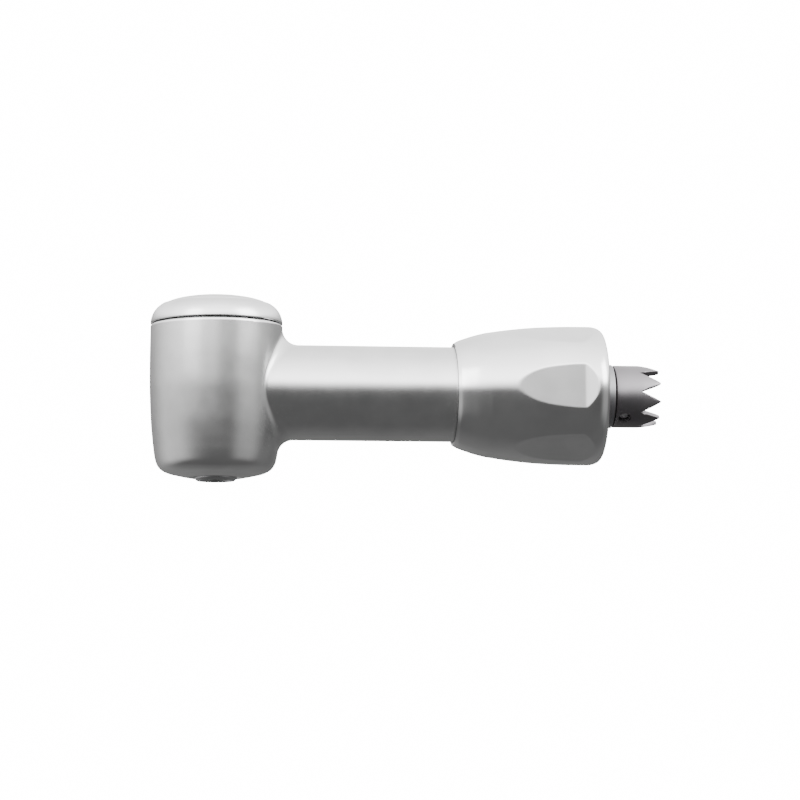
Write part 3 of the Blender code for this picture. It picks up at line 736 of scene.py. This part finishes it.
# %% Mill flats with Geometry Nodes
def flats_tree():
    """Geometry Nodes: caps the radius round X to a polygon's flats."""
    tree = bpy.data.node_groups.new("Wrench flats", "GeometryNodeTree")
    face = tree.interface
    face.new_socket("Geometry", in_out="INPUT", socket_type="NodeSocketGeometry")
    inputs = {}
    numbers = ("Flat distance", "Blend", "Tilt", "Flats", "Least radius", "Flat end", "Run out", "Bend")
    for name in numbers:
        inputs[name] = face.new_socket(name, in_out="INPUT", socket_type="NodeSocketFloat").identifier
    inputs["Metal"] = face.new_socket("Metal", in_out="INPUT", socket_type="NodeSocketMaterial").identifier
    face.new_socket("Geometry", in_out="OUTPUT", socket_type="NodeSocketGeometry")
    entry = tree.nodes.new("NodeGroupInput")
    start = Wire(tree, entry.outputs["Geometry"])
    given = {name: Wire(tree, entry.outputs[name]) for name in inputs}
    place = start.node("GeometryNodeInputPosition", {}, {})
    x, y, z = (start.node("ShaderNodeSeparateXYZ", {}, {0: place}, part) for part in ("X", "Y", "Z"))
    radius = (y * y + z * z) ** 0.5
    width = (given["Flats"] ** -1.0) * FULL_TURN
    angle = z.math("ARCTAN2", y * -1.0) - given["Tilt"]
    inside = (angle + width * 0.5).math("FLOORED_MODULO", width) - width * 0.5
    lift = ((x - given["Flat end"]) * given["Run out"]).math("SMOOTH_MAX", 0.0, given["Bend"])
    allowed = (given["Flat distance"] + lift) / inside.math("COSINE")
    capped = radius.math("SMOOTH_MIN", allowed, given["Blend"])
    outside = radius.math("GREATER_THAN", given["Least radius"])
    factor = (capped / radius - 1.0) * outside + 1.0
    moved = start.node("ShaderNodeCombineXYZ", {}, {"X": x, "Y": y * factor, "Z": z * factor})
    shaped = start.node("GeometryNodeSetPosition", {}, {"Geometry": start, "Position": moved})
    real = start.node("GeometryNodeRealizeInstances", {}, {"Geometry": shaped})
    dressed = start.node("GeometryNodeSetMaterial", {}, {"Geometry": real, "Material": given["Metal"]})
    leave = tree.nodes.new("NodeGroupOutput")
    tree.links.new(dressed.socket, leave.inputs[0])
    return tree, inputs


def grown(mesh, tree, values, sharp=30.0):
    """Runs a Geometry Nodes tree on a mesh and gives back the plain result."""
    blank = new_object("blank", mesh)
    step = blank.modifiers.new("Rule", "NODES")
    step.node_group = tree[0]
    for name, value in values.items():
        step[tree[1][name]] = value
    made = plain_mesh(blank, Matrix.Identity(4))
    blank.modifiers.clear()
    drop(blank)
    tidy_mesh(made, sharp)
    return made


# %% [markdown]
# The blank's outside is a short nose, a long swell and a round rear edge. Inside, the thread is a row
# of grooves, because nothing is screwed into it here. The flats go on last.

# %% The ring nut
nut_front, nut_rear = span("ring_nut", 0)
nose = curve_through([
    (3.90, nut_front + 0.06), (4.06, 18.15), (4.29, 18.8), (4.48, 19.4), (4.68, 20.2),
], 10)
swell = curve_through([
    (4.68, 20.2), (4.93, 21.93), (5.13, 23.9), (5.22, 25.9), (5.24, 27.2), (5.24, 28.0),
], 14)
outer = [(3.86, nut_front)] + nose + swell[1:]
REAR_FACE_R = 4.60
EDGE_WIDTH = 0.64
EDGE_LENGTH = 1.0
EDGE_STEPS = 12
for k in range(1, EDGE_STEPS):
    a = math.radians(90.0 * k / EDGE_STEPS)
    r = REAR_FACE_R + EDGE_WIDTH * math.cos(a) ** 0.9
    outer.append((r, nut_rear - EDGE_LENGTH + EDGE_LENGTH * math.sin(a)))
outer.append((REAR_FACE_R, nut_rear))
THREADS = 7
PITCH = 0.5
ROOT_R = 4.20
CREST_R = 3.96
bore = [(4.36, nut_rear), (4.22, nut_rear - 0.18)]
for k in range(THREADS):
    x = nut_rear - 0.55 - k * PITCH
    bore += [(ROOT_R, x + 0.06), (ROOT_R, x - 0.06), (CREST_R, x - 0.20), (CREST_R, x - 0.30)]
bore += [(ROOT_R, 24.6), (ROOT_R, 18.96), (3.62, 18.96), (3.62, nut_front)]
nut_blank = lathe("nut", list(reversed(outer)) + list(reversed(bore)), ALONG, 480)
nut_blank.transform(Matrix.Translation(-APEX))
nut_mesh = grown(nut_blank, flats_tree(), {
    "Flat distance": 4.955 * MM, "Blend": 0.03 * MM, "Tilt": math.radians(2.5), "Flats": 6.0,
    "Least radius": 4.45 * MM, "Flat end": 27.2 * MM, "Run out": 0.30, "Bend": 0.07 * MM,
    "Metal": NUT_NICKEL}, 40.0)
nut_mesh.transform(Matrix.Translation(APEX))
finish_piece("ring_nut_fine", nut_mesh, NUT_NICKEL, "ring_nut", "nut_nickel", "ring_nut")

# %% [markdown]
# Behind the nut a short boss carries the rear bush of the drive shaft. It never turns: only the
# crown gear beyond the hair-thin gap does. Inside the nut a small pin stands on the bush's flange,
# and its hole is cut a little wider than the pin.

# %% The bush and its boss
bush_outline = rounded([
    (2.4, 29.83, 0.06), (2.4, 20.3, 0.1), (4.15, 20.3, 0.2), (4.15, 19.05, 0.08), (2.99, 19.05, 0.05),
    (2.99, 16.6, 0.1), (2.4, 16.6, 0.05), (2.4, 18.0, 0.0), (1.6, 18.8, 0.0), (1.6, 27.2, 0.0),
    (2.02, 27.2, 0.0), (2.02, 29.83, 0.05),
])
INDEX_PIN_UP = 3.3
index_place = Matrix.Translation((0.0, 0.0, INDEX_PIN_UP * MM)) @ ALONG
hole_side = [(0.0, 21.0), (0.37, 21.0), (0.37, 19.38), (0.0, 19.38)]
pin_hole = lathe("pin_hole", hole_side, index_place, 32, ring=False)
bush_mesh = carve(lathe("bush", bush_outline, ALONG, 160), [pin_hole])
finish_piece("bush_fine", bush_mesh, BOSS_STEEL, "head", "satin_steel", "coupling_bush")
pin_side = [(0.0, 22.4), (0.24, 22.4), (0.31, 22.36), (0.35, 22.27), (0.35, 19.4), (0.0, 19.4)]
index_mesh = lathe("index_pin", pin_side, index_place, 32, ring=False)
finish_piece("index_pin_fine", index_mesh, SHAFT_STEEL, "head", "gear_steel", "index_pin")

# %% [markdown]
# The crown gear has nine pointed teeth cut from the end of a tube. One ninth of it is lofted here, as
# a strip of half-outlines that grow longer toward the middle of the tooth, and a second tree sets
# nine of them round the axis, welds them, and makes one ring.


# %% Repeat round an axis with Geometry Nodes
def repeat_tree():
    """Geometry Nodes: copies of a mesh in equal steps round X, welded into one."""
    tree = bpy.data.node_groups.new("Round the drive axis", "GeometryNodeTree")
    face = tree.interface
    face.new_socket("Geometry", in_out="INPUT", socket_type="NodeSocketGeometry")
    inputs = {}
    for name, kind in (("Count", "Int"), ("Weld", "Float"), ("Metal", "Material")):
        inputs[name] = face.new_socket(name, in_out="INPUT", socket_type="NodeSocket" + kind).identifier
    face.new_socket("Geometry", in_out="OUTPUT", socket_type="NodeSocketGeometry")
    entry = tree.nodes.new("NodeGroupInput")
    start = Wire(tree, entry.outputs["Geometry"])
    given = {name: Wire(tree, entry.outputs[name]) for name in inputs}
    spots = start.node("GeometryNodeMeshLine", {"mode": "OFFSET"},
                       {"Count": given["Count"], "Offset": (0.0, 0.0, 0.0)})
    number = start.node("GeometryNodeInputIndex", {}, {})
    turn = number / given["Count"] * FULL_TURN
    spin = start.node("ShaderNodeCombineXYZ", {}, {"X": turn, "Y": 0.0, "Z": 0.0})
    copies = start.node("GeometryNodeInstanceOnPoints", {}, {"Points": spots, "Instance": start,
                                                             "Rotation": spin})
    real = start.node("GeometryNodeRealizeInstances", {}, {"Geometry": copies})
    whole = start.node("GeometryNodeMergeByDistance", {}, {"Geometry": real, "Distance": given["Weld"]})
    dressed = start.node("GeometryNodeSetMaterial", {}, {"Geometry": whole, "Material": given["Metal"]})
    leave = tree.nodes.new("NodeGroupOutput")
    tree.links.new(dressed.socket, leave.inputs[0])
    return tree, inputs


# %% [markdown]
# A tooth is pointed but not sharp: its reach falls slowly at the tip, then faster toward the root,
# and its outer side leans in. A cross pin locks the gear on its shaft, and its hole is cut through
# both walls at once.

# %% The crown gear
TEETH = 9
TOOTH_AT = -16.0
COLUMNS_PER_TOOTH = 28
CROWN_ROOT = 31.8
CROWN_R = 2.35
TOOTH_IN_R = 1.80
SHAFT_HOLE_R = 1.27
HUB_REAR = 31.45
SIDE_START = CROWN_ROOT - 0.12
SIDE_STEPS = 7
crown_front, crown_tip = span("crown_gear", 0)


def crown_column(t):
    """The half-outline at t, from -1 to 1 across one tooth: (place along, radius) points."""
    reach = max(0.0, 1.0 - abs(t) ** 1.22)
    tip = CROWN_ROOT + (crown_tip - CROWN_ROOT) * reach
    column = [
        (HUB_REAR, SHAFT_HOLE_R), (crown_front, SHAFT_HOLE_R), (crown_front, CROWN_R - 0.09),
        (crown_front + 0.02, CROWN_R - 0.04), (crown_front + 0.09, CROWN_R), (31.0, CROWN_R),
        (SIDE_START, CROWN_R),
    ]
    for k in range(1, SIDE_STEPS + 1):
        x = SIDE_START + (tip - SIDE_START) * k / SIDE_STEPS
        lean = max(0.0, (x - CROWN_ROOT) / (crown_tip - CROWN_ROOT))
        corner = 0.03 if k == SIDE_STEPS else 0.0
        column.append((x, CROWN_R - 0.24 * lean ** 1.3 - corner))
    column += [(tip, TOOTH_IN_R + 0.06), (tip - 0.04, TOOTH_IN_R), (31.7, TOOTH_IN_R),
               (HUB_REAR, TOOTH_IN_R)]
    return column


strip = bmesh.new()
strip_columns = []
for i in range(COLUMNS_PER_TOOTH + 1):
    t = -1.0 + 2.0 * i / COLUMNS_PER_TOOTH
    a = math.radians(TOOTH_AT + 180.0 / TEETH * t)
    strip_columns.append([strip.verts.new(Vector((x, -r * math.cos(a), r * math.sin(a))) * MM)
                          for x, r in crown_column(t)])
for one, two in zip(strip_columns, strip_columns[1:]):
    for k in range(len(one)):
        m = (k + 1) % len(one)
        strip.faces.new((one[k], one[m], two[m], two[k]))
strip_mesh = bpy.data.meshes.new("crown_ninth")
strip.to_mesh(strip_mesh)
strip.free()
CROWN_SHARP = 38.0
crown_mesh = grown(strip_mesh, repeat_tree(), {
    "Count": TEETH, "Weld": 2.0 * WELD, "Metal": CROWN_STEEL}, CROWN_SHARP)
crown_mesh.transform(Matrix.Translation(APEX))
PIN_AT = math.radians(-50.5)
PIN_X = 30.62
PIN_END = 1.95
out = Vector((0.0, -math.cos(PIN_AT), math.sin(PIN_AT)))
across = out.to_track_quat("Z", "Y").to_matrix().to_4x4()
pin_place = Matrix.Translation(APEX + Vector((PIN_X * MM, 0.0, 0.0))) @ across
hole_side = [(0.0, 3.0), (0.46, 3.0), (0.46, -3.0), (0.0, -3.0)]
crown_hole = lathe("crown_hole", hole_side, pin_place, 48, ring=False)
crown_mesh = carve(crown_mesh, [crown_hole], sharp=CROWN_SHARP)
finish_piece("crown_gear_fine", crown_mesh, CROWN_STEEL, "drive", "crown_steel", "crown_gear")
pin_half = [(0.0, PIN_END), (0.36, PIN_END), (0.43, PIN_END - 0.05), (0.44, PIN_END - 0.11)]
cross_pin = pin_half + [(r, -z) for r, z in reversed(pin_half)]
cross_pin_mesh = lathe("cross_pin", cross_pin, pin_place, 40, ring=False)
finish_piece("cross_pin_fine", cross_pin_mesh, SHAFT_STEEL, "drive", "bearing_steel", "crown_pin")

# %% [markdown]
# The set is a plain studio. Its floor is pale and matt, and stands well below the object, so it only
# sends soft light up. It doesn't show in reflections, because the room below takes that place.

# %% The floor
FLOOR_Z = -0.06
FLOOR_R = 1.5
floor_shape = bmesh.new()
bmesh.ops.create_circle(floor_shape, cap_ends=True, segments=96, radius=FLOOR_R)
bmesh.ops.translate(floor_shape, vec=(0.0, 0.0, FLOOR_Z), verts=floor_shape.verts)
floor_mesh = bpy.data.meshes.new("studio_floor")
floor_shape.to_mesh(floor_mesh)
floor_shape.free()
floor = new_object("studio_floor", floor_mesh)
pale = bpy.data.materials.new("studio_floor")
pale.use_nodes = True
pale.node_tree.nodes["Principled BSDF"].inputs["Base Color"].default_value = (0.92, 0.92, 0.92, 1.0)
pale.node_tree.nodes["Principled BSDF"].inputs["Roughness"].default_value = 0.9
floor_mesh.materials.append(pale)
floor.visible_glossy = False

# %% [markdown]
# Polished metal shows nothing but what it faces, so the room round it is the real light. It has a
# broad white ceiling, walls that are bright to the left and dim to the right, and ground that is dark
# but a little lighter behind the object. Two lamps stand as bright strips, one on either side of the
# camera. Each is written as a level against the height or the bearing of a direction, in degrees, and
# the levels are blended. Straight to the lens the room is plain white.

# %% The room as a world
world = bpy.data.worlds.new("studio")
bpy.context.scene.world = world
world.use_nodes = True
sky = world.node_tree
background = sky.nodes["Background"]
room = Wire(sky, sky.nodes.new("ShaderNodeTexCoord").outputs["Generated"])
X, Y, Z = (room.node("ShaderNodeSeparateXYZ", {}, {0: room}, part) for part in ("X", "Y", "Z"))
LENS_BEARING = -6.0
height = Z.math("ARCSINE") * math.degrees(1.0)
bearing = X.math("ARCTAN2", Y * -1.0) * math.degrees(1.0) - LENS_BEARING
BRIGHTEST = 8.0


def levels(value, stops):
    """A level that follows the stops, each (value, level), in straight lines."""
    low, high = stops[0][0], stops[-1][0]
    scaled = (value - low) / (high - low)
    ramp = [((place - low) / (high - low), level / BRIGHTEST) for place, level in stops]
    return room.node("ShaderNodeValToRGB", {"stops": ramp}, {0: scaled}) * BRIGHTEST


def blend_levels(one, two, amount):
    """From one to two, by an amount."""
    return amount * (two - one) + one


def window(value, rise, fall):
    """1 between a rise and a fall, each given as (from, to), and 0 outside them."""
    return value.between(*rise) * (1.0 - value.between(*fall))


ceiling = levels(height, [(0, 4.1), (30, 4.2), (50, 3.6), (70, 3.3), (90, 3.0)]) * (Y * -0.5 + 1.0)
wall_share = levels(bearing, [
    (-180, 0.5), (-130, 0.6), (-101, 0.8), (-67, 1.15), (-38, 1.1), (-20, 0.95), (0, 0.85),
    (14, 0.28), (34, 0.22), (51, 0.32), (71, 0.40), (94, 0.42), (180, 0.5),
])
ceiling = ceiling * blend_levels(wall_share, 1.0, height.between(10.0, 26.0))
sides = levels(bearing, [
    (-180, 0.22), (-130, 0.5), (-100, 1.0), (-67, 0.9), (-38, 0.34), (-20, 0.18), (0, 0.14),
    (24, 0.12), (33, 0.16), (51, 0.42), (75, 0.42), (95, 0.20), (130, 0.18), (180, 0.22),
])
ground = Y.math("MAXIMUM", 0.0) * 0.11 + 0.14
below = (sides - ground) * height.between(-50.0, -15.0) + ground
RIGHT_LAMP = 6.0
LEFT_LAMP = 4.0
STRIP_TOP = (38.0, 50.0)
right_strip = window(height, (11.0, 18.0), STRIP_TOP) * window(bearing, (38.0, 50.0), (72.0, 90.0))
left_strip = window(height, (9.0, 15.0), STRIP_TOP) * window(bearing, (-60.0, -48.0), (-30.0, -20.0))
level = blend_levels(below, ceiling, height.between(2.0, 23.0))
level = level + right_strip * RIGHT_LAMP + left_strip * LEFT_LAMP
seen_by_lens = room.node("ShaderNodeLightPath", {}, {}, "Is Camera Ray")
TO_LENS = 16.0
room.feed(blend_levels(level, TO_LENS, seen_by_lens), background.inputs["Strength"])
background.inputs["Color"].default_value = (1.0, 1.0, 1.0, 1.0)

# %% [markdown]
# The camera stands a little to the barrel's side and a little below the axis, far back with a long
# lens, so that both ends keep nearly the same scale.

# %% The camera
AZIMUTH = math.radians(LENS_BEARING)
ELEVATION = math.radians(-6.5)
DISTANCE = 227.0 * MM
back = Vector((math.sin(AZIMUTH) * math.cos(ELEVATION), -math.cos(AZIMUTH) * math.cos(ELEVATION),
               math.sin(ELEVATION)))
target = APEX + Vector((13.8, 0.0, -0.45)) * MM
lens = bpy.data.cameras.new("studio_camera")
lens.lens = 136.0
lens.sensor_width = 36.0
camera = bpy.data.objects.new("studio_camera", lens)
bpy.context.scene.collection.objects.link(camera)
camera.location = target + back * DISTANCE
camera.rotation_euler = back.to_track_quat("Z", "Y").to_euler()
bpy.context.scene.camera = camera
